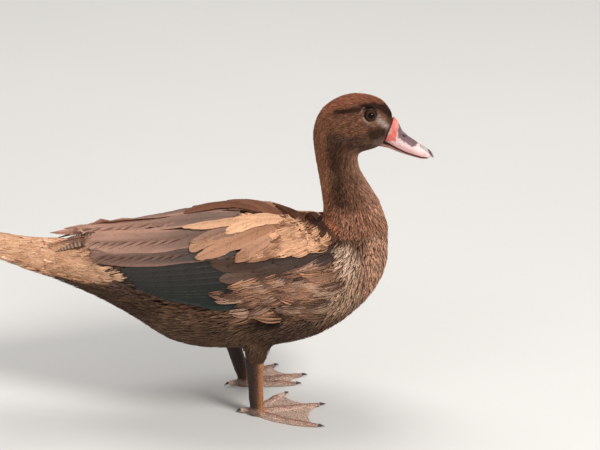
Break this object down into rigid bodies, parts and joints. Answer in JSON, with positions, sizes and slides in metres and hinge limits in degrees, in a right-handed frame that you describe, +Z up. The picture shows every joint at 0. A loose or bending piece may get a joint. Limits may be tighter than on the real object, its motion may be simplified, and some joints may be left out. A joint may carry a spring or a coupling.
{
  "type": "standing duck model",
  "caption": "Life-size still model of a young brown domestic Muscovy duck hen, standing on flat webbed feet with her head up.",
  "frame": {"origin": "centre of the bounding box on the floor, under the body", "axes": "+Z up, +X toward the bill, the bird's right side toward -Y"},
  "size_m": [0.4489, 0.1536, 0.3084],
  "materials": {
    "body": "soft brown and rufous body feathers over flesh, matt",
    "rump_feather": "loose orange-tan and umber feathers of the rump and vent, matt",
    "tail_feather": "tan-orange tail feathers with frayed tips, matt",
    "wing_feather": "tan scapulars, pinkish-brown tertials and dark grey-green secondaries, low sheen",
    "eye": "wet dark brown eye",
    "bill": "pink horn with purple-grey mottling and red base skin, satin",
    "horn": "dark horn, satin",
    "leg_skin": "finely scaled brown-orange skin, paler on the webs"
  },
  "bodies": {
    "root": {"tail": "tail_feather", "rump": "rump_feather", "trunk": "body", "neck": "body", "head": "body", "eye_right": "eye", "eye_left": "eye", "bill_upper": "bill", "bill_lower": "bill", "bill_nail": "horn", "wing_right": "wing_feather", "wing_left": "wing_feather", "thigh_right": "body", "shank_right": "leg_skin", "foot_right": "leg_skin", "claw_outer_right": "horn", "claw_middle_right": "horn", "claw_inner_right": "horn", "claw_hind_right": "horn", "thigh_left": "body", "shank_left": "leg_skin", "foot_left": "leg_skin", "claw_outer_left": "horn", "claw_middle_left": "horn", "claw_inner_left": "horn", "claw_hind_left": "horn"}
  },
  "joints": []
}
